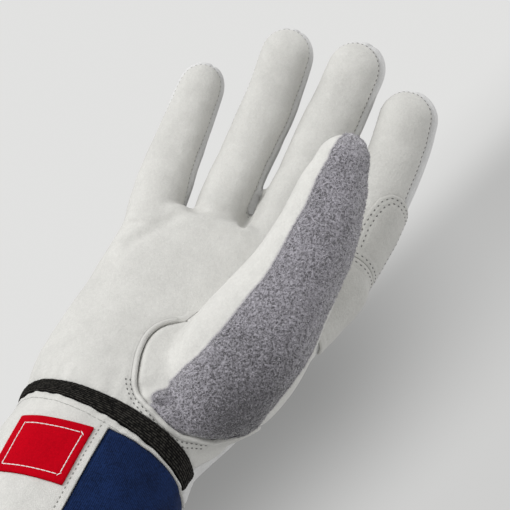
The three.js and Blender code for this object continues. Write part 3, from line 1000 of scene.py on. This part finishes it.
class GloveSizes(bpy.types.PropertyGroup):
    """Sizes of the sewn panels, in millimetres."""

    voxel: size_of("Mesh size", "Edge length of the surface mesh", 0.7)
    wall: size_of("Wall", "Thickness of leather and fabric", 1.5)
    seam_dip: size_of("Seam dip", "Depth of the sewn edges", 0.85)
    rim: size_of("Thumb rim", "Height of the rolled rim", 0.75)
    stitch: size_of("Stitch", "Step from stitch to stitch", 2.3)
    patch: size_of("Patch", "Thickness of the sewn-on patches", 1.0)
    pile: size_of("Pile", "Height of the fleece", 0.9)
    tufts: count_of("Tufts", "Tufts standing out of the fleece", 9000)
    edge_tufts: count_of("Edge tufts", "Tufts that lie over the edge of the fleece", 5000)
    ribs: count_of("Ribs", "Ribs across the elastic band", 9)
    floor_drop: size_of("Floor", "Distance from the wrist down to the floor", 800)


class GloveColours(bpy.types.PropertyGroup):
    """Colours of the finishes."""

    leather: colour_of("Leather", "Palm and cuff", (0.57, 0.565, 0.54))
    patch: colour_of("Patches", "Index patches", (0.525, 0.52, 0.495))
    fabric: colour_of("Fabric", "Back of the hand", (0.64, 0.64, 0.635))
    fleece: colour_of("Fleece", "Thumb", (0.245, 0.235, 0.26))
    elastic: colour_of("Elastic", "Wrist band", (0.012, 0.0112, 0.0098))
    navy: colour_of("Navy", "Cuff panel", (0.0058, 0.0165, 0.062))
    red: colour_of("Red", "Patch on the cuff", (0.43, 0.0006, 0.0075))
    thread: colour_of("Thread", "Stitches of the patches and the thumb", (0.13, 0.13, 0.125))
    palm_thread: colour_of("Palm thread", "Stitches of the fingers", (0.26, 0.255, 0.24))
    pale_thread: colour_of("Pale thread", "Stitches along the cuff's edge", (0.42, 0.42, 0.4))
    white_thread: colour_of("White thread", "Stitches on the red patch", (0.8, 0.8, 0.78))
    floor: colour_of("Floor", "Floor of the studio", (0.75, 0.75, 0.745))


def sizes():
    return bpy.context.scene.glove_sizes


def colours():
    return bpy.context.scene.glove_colours


@functools.cache
def whole_skin():
    return glove_skin(sizes().voxel)


@functools.cache
def skin_above_band():
    return whole_skin().side(lambda points: above_edge(points, BAND_TOP), -1, GAP)


@functools.cache
def hand_skin():
    """The glove above the band, without the thumb."""
    return skin_above_band().side(thumb_field, -1)


def rim_distances(skin):
    """Distance of each point to the rim on the thumb seam, the side seam, and the band."""
    rim = skin.points[skin.rim()]
    at_thumb = np.abs(thumb_field(rim)) < 0.5
    at_side = (np.abs(palm_field(rim)) < 0.5) & ~at_thumb
    at_band = (above_edge(rim, BAND_TOP) < 1.2) & ~at_thumb
    found = (at_thumb, at_side & ~at_band, at_band)
    return [nearest_distance(skin.points, rim[chosen]) for chosen in found]


def above_cuff(points):
    """Height above the band's lower edge, where the cuff begins."""
    return above_edge(points, BAND_BOTTOM)


def dip(distance, deep, reach=0.95):
    """Height of an edge that sinks in at a seam."""
    return -deep * ridge(distance, 0, reach)


def under_thumb(points):
    """1 where the thumb's seam lies hidden under the thumb, 0 elsewhere."""
    return ramp(8, 13, points[:, 0]) * ramp(38, 44, points[:, 2])


def publish(name, points, faces, material, slot, *nodes):
    """Puts a piece in the scene, on the body, with its finish and the node that it stands for."""
    made = mesh_object(name, points, faces)
    made.data.materials.append(material)
    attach(made, "root")
    if nodes:
        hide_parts(*nodes)
    return made


def paint(made, name, values):
    """Keeps a value for each point of a piece, for its material."""
    layer = made.data.attributes.new(name, "FLOAT", "POINT")
    layer.data.foreach_set("value", np.asarray(values, float))


def paint_turned(made, name, values, skin):
    """The same for a turned-in piece, whose inner rim takes the values of the outer one."""
    paint(made, name, np.concatenate([values, values[skin.rim()]]))


def stitch_places(skin, distance, level, pitch, skip=None):
    """Places of stitches at a level from a rim, without those that skip names."""
    places = []
    for line in level_lines(skin, distance, level):
        places += spaced(line, pitch)
    return [p for p in places if skip is None or not skip(p[0])]


def sew(name, places):
    """Publishes a row of stitches, with its sizes and thread from the table."""
    long, wide, high, lift, key, bright, thread, slot = STITCHES[name]
    look = thread_look(thread, [c * bright for c in getattr(colours(), key)])
    publish(name, *stitched(places, long, wide, high, lift), look, slot)


class GLOVE_OT_palm(bpy.types.Operator):
    """Sews the palm leather, with its rolled rim round the thumb and its stitches"""

    bl_idname = "glove.palm"
    bl_label = "Palm leather"

    def execute(self, context):
        size = sizes()
        skin = hand_skin().side(palm_field, 1)
        thumb, side, band = rim_distances(skin)
        height = dip(side, size.seam_dip) + dip(band, 0.5, 1.4)
        under = under_thumb(skin.points)
        rolled = size.rim * ridge(thumb, 1.0, 0.7) - 0.3 * ridge(thumb, 2.4, 0.6)
        height += rolled * (1 - under) - 0.14 * ridge(side, PALM_ROW, 0.45)
        sewn = skin.moved(height)
        leather = leather_look("palm leather", colours().leather, creased_with_painted_shade=True)
        made = publish(
            "palm", *turned_in(sewn, size.wall), leather, "white_leather", "palm_leather")
        # Distance to the thumb seam, which places the crease and its painted shadow line
        paint_turned(made, "seam", thumb + 9 * under, sewn)
        rows = stitch_places(
            sewn, side, PALM_ROW, size.stitch * 0.85, lambda place: place[2] < PALM_ROW_LOW)
        # The stitches at the middle and index fingertips are painted darker: painted shade
        dark = [row[0][0] > SHADED_ROW_LEFT and row[0][2] > SHADED_ROW_LOW for row in rows]
        sew("palm_stitches", [row for row, in_painted_shade in zip(rows, dark) if not in_painted_shade])
        sew("finger_stitches", [row for row, in_painted_shade in zip(rows, dark) if in_painted_shade])
        rows = []
        for level in THUMB_ROWS:
            rows += stitch_places(sewn, thumb, level, size.stitch * 0.9, self.off_base)
        sew("thumb_stitches", rows)
        return {"FINISHED"}

    def off_base(self, place):
        """Whether a place is off the thumb's base, at the front of the wrist."""
        return place[2] > BASE_HIGH or place[0] > BASE_RIGHT or place[1] > BASE_BACK


class GLOVE_OT_back(bpy.types.Operator):
    """Sews the back of the hand and the strips between the fingers"""

    bl_idname = "glove.back"
    bl_label = "Back and finger sides"

    def execute(self, context):
        behind = whole_skin().side(above_cuff, -1, GAP)
        behind = behind.side(thumb_field, -1).side(palm_field, -1)
        fabric = weave_look("white softshell", colours().fabric, 0.55)
        rest = behind
        for k in range(3):
            strip = behind.side(lambda points: strip_field(points, k), 1)
            rest = rest.side(lambda points: strip_field(points, k), -1)
            name = f"finger_side_{k + 1}"
            self.panel(strip, name + "_strip", fabric, name)
        self.panel(rest, "back", fabric, "back_fabric")
        return {"FINISHED"}

    def panel(self, skin, name, fabric, node):
        sewn = skin.moved(dip(skin.to_rim(), sizes().seam_dip))
        publish(name, *turned_in(sewn, sizes().wall), fabric, "white_softshell", node)


class GLOVE_OT_thumb(bpy.types.Operator):
    """Sews the thumb: its leather, and the fleece with its pile"""

    bl_idname = "glove.thumb"
    bl_label = "Thumb"

    def execute(self, context):
        size = sizes()
        thumb = skin_above_band().side(thumb_field, 1)
        leather = thumb.side(fleece_field, -1, 0)
        near = leather.to_rim(off_fleece)
        under = under_thumb(leather.points)
        sewn = leather.moved(dip(near, size.seam_dip) * (1 - under))
        # Painted light: the thumb's leather is the palm's leather painted 6% lighter, where the
        # thumb faces the light
        pale = [c * 1.06 for c in colours().leather]
        look = leather_look("thumb leather", pale, creased_with_painted_shade=True, fuzz=colours().fleece)
        made = publish(
            "thumb", *turned_in(sewn, size.wall), look, "white_leather", "thumb_leather")
        fuzz = leather.to_rim(lambda rim: ~off_fleece(rim) & (thumb_field(rim) < -1))
        paint_turned(made, "fuzz", fuzz, leather)
        # Distance to the seams, which places the crease and its painted shadow line
        paint_turned(made, "seam", 2.1 + near * 0.5 + 9 * under, leather)
        self.fleece(thumb.side(fleece_field, 1, 0).finer(), size)
        return {"FINISHED"}

    def fleece(self, skin, size):
        near, sewn = skin.to_rim(), skin.to_rim(off_fleece)
        clump = 0.5 + 0.45 * wobble(skin.points, 0.95, 11) + 0.35 * wobble(skin.points, 0.55, 5)
        clump = np.clip(clump, 0, 1.2)
        height = ramp(-0.4, 1.6, near) * size.pile * (0.45 + 0.55 * clump) + dip(sewn, 0.5)
        raised = skin.moved(height)
        look = fleece_look("grey fleece", colours().fleece)
        made = publish(
            "fleece", *turned_in(raised, size.wall), look, "grey_fleece", "thumb_fleece")
        # Painted shade: the clump values are darkened towards the wrist on the thumb side
        shaded = clump * ramp(0, 1.2, sewn) - self.shade(skin.points)
        paint_turned(made, "clump", shaded + 0.25 * (1 - ramp(0, 1.2, near)), skin)
        self.pile(raised, near, sewn, size, look)

    def pile(self, skin, near, sewn, size, look):
        """Tufts all over the fleece, and finer ones that lie over its edge on the leather."""
        rng = np.random.default_rng(7)
        at_edge = near[skin.faces].mean(axis=1) < 1.1
        open_edge = at_edge & (sewn[skin.faces].mean(axis=1) > 1.2)
        faces = np.concatenate([rng.choice(len(skin.faces), size.tufts),
                                rng.choice(np.flatnonzero(open_edge), size.edge_tufts)])
        outward = self.outward(skin, near)
        points, triangles, tone = [], [], []
        for n, face in enumerate(skin.faces[faces]):
            share = rng.dirichlet((1, 1, 1))
            root = share @ skin.points[face]
            if share @ sewn[face] < 0.9:
                continue
            normal = unit(share @ skin.normals[face])
            lies_over = n >= size.tufts
            lean = unit(normal + rng.normal(0, 0.75, 3))
            width, tall = rng.uniform(0.1, 0.18), rng.uniform(0.35, 0.8)
            if lies_over:
                lean = unit(normal * 0.45 + outward[face[0]] + rng.normal(0, 0.45, 3))
                width, tall = rng.uniform(0.05, 0.09), rng.uniform(0.5, 1.3)
            side = unit(np.cross(lean, rng.normal(0, 1, 3)))
            middle = root + lean * tall * 0.6
            top = middle + unit(lean + rng.normal(0, 0.5, 3)) * tall * 0.5
            turn = np.cross(lean, side)
            start = len(points)
            for centre, scale in ((root - normal * 0.1, width), (middle, width * 0.8)):
                corners = (side, turn - side * 0.5, -turn - side * 0.5)
                points += [centre + corner * scale for corner in corners]
            points.append(top)
            for s in range(3):
                a, b = start + s, start + (s + 1) % 3
                triangles += [(a, b, b + 3), (a, b + 3, a + 3), (a + 3, b + 3, start + 6)]
            # Painted shade on each tuft, as on the pile under it
            low = self.shade(root[None])[0]
            tone += [0.55 + 0.5 * rng.random() - low + 0.5 * lies_over] * 7
        made = publish(
            "fleece_pile", np.array(points), np.array(triangles), look, "grey_fleece")
        paint(made, "clump", tone)

    def shade(self, points):
        """How much darker the pile is painted towards the wrist on the thumb side: painted shade
        where the pile faces down, away from the light.
        """
        return 1.05 * (1 - ramp(5, 62, points[:, 2])) * ramp(20, 46, points[:, 0]) - 0.08

    def outward(self, skin, near):
        """Direction at each point along the skin towards its rim."""
        a, b = edges_of(skin.faces).T
        steps = (skin.points[b] - skin.points[a]) * (near[a] - near[b])[:, None]
        return unit(sums_over(a, steps, len(near)))


class GLOVE_OT_patches(bpy.types.Operator):
    """Sews the two patches onto the thumb side of the index finger"""

    bl_idname = "glove.patches"
    bl_label = "Index patches"

    def execute(self, context):
        look = leather_look("patch leather", colours().patch)
        outer, inner = UPPER_PATCH_ROWS
        rows = self.patch("index_patch_upper", PATCH_UPPER, look, {
            outer: lambda place: place[1] > 1, inner: lambda place: self.over_seam(place) < 4.4})
        rows += self.patch("index_patch_lower", PATCH_LOWER, look, {
            LOWER_PATCH_ROW: lambda place: self.over_seam(place) < -3})
        sew("patch_stitches", rows)
        return {"FINISHED"}

    def patch(self, name, outline, look, levels):
        """Publishes a patch; returns its stitches at each level, without those to be skipped."""
        size, skin = sizes(), hand_skin()
        skin = skin.below(PATCH_LEFT - skin.points[:, 0])
        field = np.maximum(outline_field(skin.points, outline), depth(skin.points) - PATCH_BACK)
        part = skin.below(np.maximum(field, 1.2 - thumb_field(skin.points)))
        near, at_seam = part.to_rim(), part.to_rim(self.at_seam)
        free = part.to_rim(lambda rim: ~self.at_seam(rim))
        height = 0.35 + size.patch * np.sqrt(ramp(-0.6, 1.1, free)) + dip(at_seam, 0.3, 0.4)
        for row in UPPER_PATCH_ROWS:
            height -= 0.18 * ridge(near, row, 0.4)
        lifted = part.moved(height)
        wall = walled(lifted, size.patch * 0.75)
        publish(name.replace("index_", ""), *wall, look, "patch_leather", name)
        rows = []
        for level, skip in levels.items():
            rows += stitch_places(lifted, near, level, size.stitch, skip)
        return rows

    def at_seam(self, rim):
        return np.array([abs(self.over_seam(place)) < 1.2 for place in rim])

    def over_seam(self, place):
        """Height above the seam across the two patches, low for places behind the finger."""
        return place[2] - np.interp(place[0], *zip(*CROSS_SEAM)) - 9 * (place[1] > 1)


class GLOVE_OT_band(bpy.types.Operator):
    """Weaves the ribbed elastic band round the wrist"""

    bl_idname = "glove.band"
    bl_label = "Elastic band"

    def execute(self, context):
        size = sizes()
        around = 420
        turns = np.linspace(0, 2 * math.pi, around, endpoint=False)
        bulge, rib, step = 0.5, 0.15, math.pi / 2 * size.ribs
        profile = [(t, bulge * (1 - t ** 4) + rib * abs(math.sin((t + 1) * step)))
                   for t in np.linspace(-1, 1, 73)]
        profile += [(t, -1.5) for t in np.linspace(1, -1, 9)]
        points, faces = [], []
        for turn, across, deep in zip(turns, *superellipse(around, WRIST[5])):
            crimp = 0.07 * math.sin(turn * 96) + 0.05 * math.sin(turn * 41 + 1)
            sway = 0.16 * math.sin(turn * 13 + 2) + 0.12 * math.sin(turn * 7)
            plain = np.array([self.place(across, deep, t, 0) for t, out in profile])
            covered = ramp(-0.6, 0.6, palm_field(plain)) * 2.3
            for (t, out), sunk in zip(profile, covered):
                grown = out + (crimp if out > -1 else 0) - sunk
                points.append(self.place(across, deep, t, grown, sway * 0.4))
        ring = len(profile)
        for i in range(around):
            for j in range(ring):
                a, b = i * ring + j, i * ring + (j + 1) % ring
                c, d = (i + 1) % around * ring + j, (i + 1) % around * ring + (j + 1) % ring
                faces += [(a, c, d), (a, d, b)]
        look = elastic_look("black elastic", colours().elastic)
        made = publish("elastic_band", np.array(points), np.array(faces), look,
                       "black_elastic", "wrist_elastic")
        paint(made, "cord", [(t + 1) / 2 * size.ribs for t, out in profile] * around)
        paint(made, "along", np.repeat(turns, ring))
        return {"FINISHED"}

    def place(self, across, deep, t, grown, lift=0):
        """A point of the band: t runs from -1 at its lower edge to 1 at its upper one."""
        x = WRIST[0] + across * (WRIST[3] + grown)
        y = WRIST[1] + deep * (WRIST[4] + grown)
        low, high = (edge[0] + edge[1] * x + edge[2] * y for edge in (BAND_BOTTOM, BAND_TOP))
        return x, y, (low + high) / 2 + (high - low) / 2 * t + lift


class GLOVE_OT_cuff(bpy.types.Operator):
    """Sews the cuff, its navy panel and the plain red patch"""

    bl_idname = "glove.cuff"
    bl_label = "Cuff"

    def execute(self, context):
        size = sizes()
        skin = whole_skin().side(above_cuff, 1, GAP)
        cuff = skin.side(panel_field, -1)
        panel_near = cuff.to_rim(lambda rim: np.abs(panel_field(rim)) < 0.6)
        hem_near = cuff.to_rim(lambda rim: np.abs(panel_field(rim)) >= 0.6)
        height = 0.25 - 0.2 * ridge(panel_near, PANEL_ROW, 0.5) + dip(hem_near, 0.4, 0.8)
        sewn = cuff.moved(height - 0.2 * ridge(hem_near, HEM_ROW, 0.5))
        leather = leather_look("cuff leather", colours().leather)
        wall = walled(sewn, size.wall + 0.2)
        publish("cuff", *wall, leather, "white_leather", "cuff_leather")
        panel = skin.side(panel_field, 1)
        wall = walled(panel.moved(-0.3 + dip(panel.to_rim(), 0.5, 0.8)), size.wall - 0.3)
        navy = weave_look("navy twill", colours().navy, 0.95, 0.9, 0.16, 0.6, 0.75, 0.06)
        publish("navy_panel", *wall, navy, "navy_fabric", "cuff_panel")
        sew("cuff_stitches", stitch_places(
            sewn, panel_near, PANEL_ROW, size.stitch * 0.9,
            lambda place: place[0] > PANEL_ROW_RIGHT))
        sew("cuff_edge_stitches", stitch_places(sewn, hem_near, HEM_ROW, size.stitch))
        self.label(skin)
        return {"FINISHED"}

    def label(self, skin):
        field = np.maximum(outline_field(skin.points, LABEL), skin.points[:, 1])
        part = skin.below(field)
        line = outline_field(part.points, LABEL_LINE)
        height = 0.55 + 0.75 * np.sqrt(ramp(-0.4, 0.8, part.to_rim())) - 0.12 * ridge(line, 0, 0.5)
        lifted = part.moved(height)
        red = weave_look("red patch", colours().red, 0.5, 0.0, 0.08, 0.16, 0.8, 0.02)
        publish("red_patch", *walled(lifted, 0.6), red, "red_label", "label_patch")
        sew("red_patch_stitches", stitch_places(lifted, line, 0, LABEL_PITCH))


# Camera: the point that it looks at, its angles in degrees, its distance and its picture
CAMERA_AIM = (0.0244, -0.014, 0.0918)
CAMERA_AZIMUTH = 9
CAMERA_ELEVATION = -33
CAMERA_ROLL = 24.5
CAMERA_DISTANCE = 0.75
PICTURE = 510
FOCAL_PIXELS = 1950
# Lights, columns: its direction as shares of the camera's right, up and back, then distance,
# size and power
LIGHTS = {
    "key": (-0.8, 0.66, 0.62, 1.3, 0.9, 11.4),
    "side": (1, 0.3, -0.2, 1.3, 0.5, 4.2),
}
# Shade on the wall, in pixels of the photo: its direction, where it begins, is full and ends
# across it, and where it fades along it
SHADE_ALONG = (0.695, 0.719)
SHADE_ACROSS = (378, 478, 661)
SHADE_FADE = (-71, 196)
SHADE_LOW = (427, 480)
# Grey of the wall, and how much the band and the low part of the shade take from it
WALL_GREY = 0.757
BAND_SHADE = 0.356
LOW_SHADE = 0.135


def camera_axes():
    """Directions of the camera: to its right, up, and back towards it."""
    a, e, r = (math.radians(v) for v in (CAMERA_AZIMUTH, CAMERA_ELEVATION, CAMERA_ROLL))
    back = Vector((math.sin(a) * math.cos(e), -math.cos(a) * math.cos(e), math.sin(e)))
    level_right = back.cross(Vector((0, 0, -1))).normalized()
    level_up = back.cross(level_right)
    right = level_right * math.cos(r) + level_up * math.sin(r)
    up = level_up * math.cos(r) - level_right * math.sin(r)
    return right, up, back


class GLOVE_OT_stage(bpy.types.Operator):
    """Sets the pale floor, the soft lights and the camera"""

    bl_idname = "glove.stage"
    bl_label = "Stage"

    def execute(self, context):
        right, up, back = camera_axes()
        aim = Vector(CAMERA_AIM)
        context.scene.view_settings.view_transform = "Standard"
        self.camera(aim, right, up, back)
        self.floor()
        self.sky(right, up, back)
        for name, (right_share, up_share, back_share, *rest) in LIGHTS.items():
            direction = right * right_share + up * up_share + back * back_share
            self.light(name, aim, direction, *rest)
        return {"FINISHED"}

    def camera(self, aim, right, up, back):
        data = bpy.data.cameras.new("camera")
        data.sensor_width = 36
        data.lens = 36 * FOCAL_PIXELS / PICTURE
        data.clip_start, data.clip_end = 0.01, 50
        made = bpy.data.objects.new("camera", data)
        bpy.context.collection.objects.link(made)
        turn = Matrix((right, up, back)).transposed()
        made.matrix_world = Matrix.Translation(aim + back * CAMERA_DISTANCE) @ turn.to_4x4()
        bpy.context.scene.camera = made

    def floor(self):
        reach, sides = 9000, 96
        turns = np.arange(sides) * 2 * math.pi / sides
        drop = np.full(sides, -sizes().floor_drop)
        points = np.column_stack([reach * np.cos(turns), reach * np.sin(turns), drop])
        made = mesh_object("floor", points, [list(range(sides))], smooth=False)
        made.data.materials.append(floor_look("pale floor", colours().floor))

    def sky(self, right, up, back):
        """Pale studio walls, with a soft shade towards the lower right of the photo's view."""
        world = bpy.data.worlds.new("studio")
        bpy.context.scene.world = world
        world.use_nodes = True
        look = Look("studio", world.node_tree)
        direction = look.node("ShaderNodeTexCoord").outputs["Generated"]

        def dot(axis):
            sockets = {0: direction, 1: axis}
            return look.value(
                "ShaderNodeVectorMath", {"operation": "DOT_PRODUCT"}, sockets, "Value")

        ahead = dot(-back)
        across = dot(right) / ahead * FOCAL_PIXELS + PICTURE / 2
        down = PICTURE / 2 - dot(up) / ahead * FOCAL_PIXELS
        right_share, down_share = SHADE_ALONG
        slant = across * right_share + down * down_share
        run = across * down_share - down * right_share
        begin, full, end = SHADE_ACROSS
        band = slant.between(begin, full) * (1 - slant.between(full, end))
        fade = 1 - run.between(*SHADE_FADE) * 0.657
        low = slant.between(*SHADE_LOW)
        facing = ahead.between(0.9, 0.98)
        shade = WALL_GREY - (band * fade * BAND_SHADE + low * LOW_SHADE) * facing
        seen = look.joined(shade, shade, shade * 0.99)
        seen = look.node("ShaderNodeBackground", None, {"Color": seen})
        glow = 0.62 + dot((up - right + back * 0.5).normalized()) * 0.22
        lit = look.joined(glow, glow, glow)
        lit = look.node("ShaderNodeBackground", None, {"Color": lit})
        direct = look.value("ShaderNodeLightPath")
        sockets = {0: direct, 1: lit.outputs[0], 2: seen.outputs[0]}
        mix = look.node("ShaderNodeMixShader", None, sockets)
        look.node("ShaderNodeOutputWorld", None, {"Surface": mix.outputs[0]})

    def light(self, name, aim, direction, distance, size, power):
        data = bpy.data.lights.new(name, "AREA")
        data.shape, data.size = "DISK", size
        data.energy = power
        made = bpy.data.objects.new(name, data)
        bpy.context.collection.objects.link(made)
        made.location = aim + direction.normalized() * distance
        made.rotation_euler = direction.to_track_quat("Z", "Y").to_euler()


class GLOVE_PT_panel(bpy.types.Panel):
    """Lists the steps of the glove in the sidebar"""

    bl_label = "Glove"
    bl_space_type = "VIEW_3D"
    bl_region_type = "UI"
    bl_category = "Glove"

    def draw(self, context):
        for step in STEPS:
            self.layout.operator(step.bl_idname)
        for group in (sizes(), colours()):
            for key in group.__annotations__:
                self.layout.prop(group, key)


STEPS = (GLOVE_OT_stage, GLOVE_OT_palm, GLOVE_OT_back, GLOVE_OT_thumb, GLOVE_OT_patches,
         GLOVE_OT_band, GLOVE_OT_cuff)
CLASSES = (GloveSizes, GloveColours, *STEPS, GLOVE_PT_panel)


def register():
    for kind in CLASSES:
        bpy.utils.register_class(kind)
    bpy.types.Scene.glove_sizes = bpy.props.PointerProperty(type=GloveSizes)
    bpy.types.Scene.glove_colours = bpy.props.PointerProperty(type=GloveColours)


def unregister():
    del bpy.types.Scene.glove_sizes
    del bpy.types.Scene.glove_colours
    for kind in reversed(CLASSES):
        bpy.utils.unregister_class(kind)


def main():
    register()
    for step in STEPS:
        family, name = step.bl_idname.split(".")
        getattr(getattr(bpy.ops, family), name)()


if __name__ == "__main__":
    main()
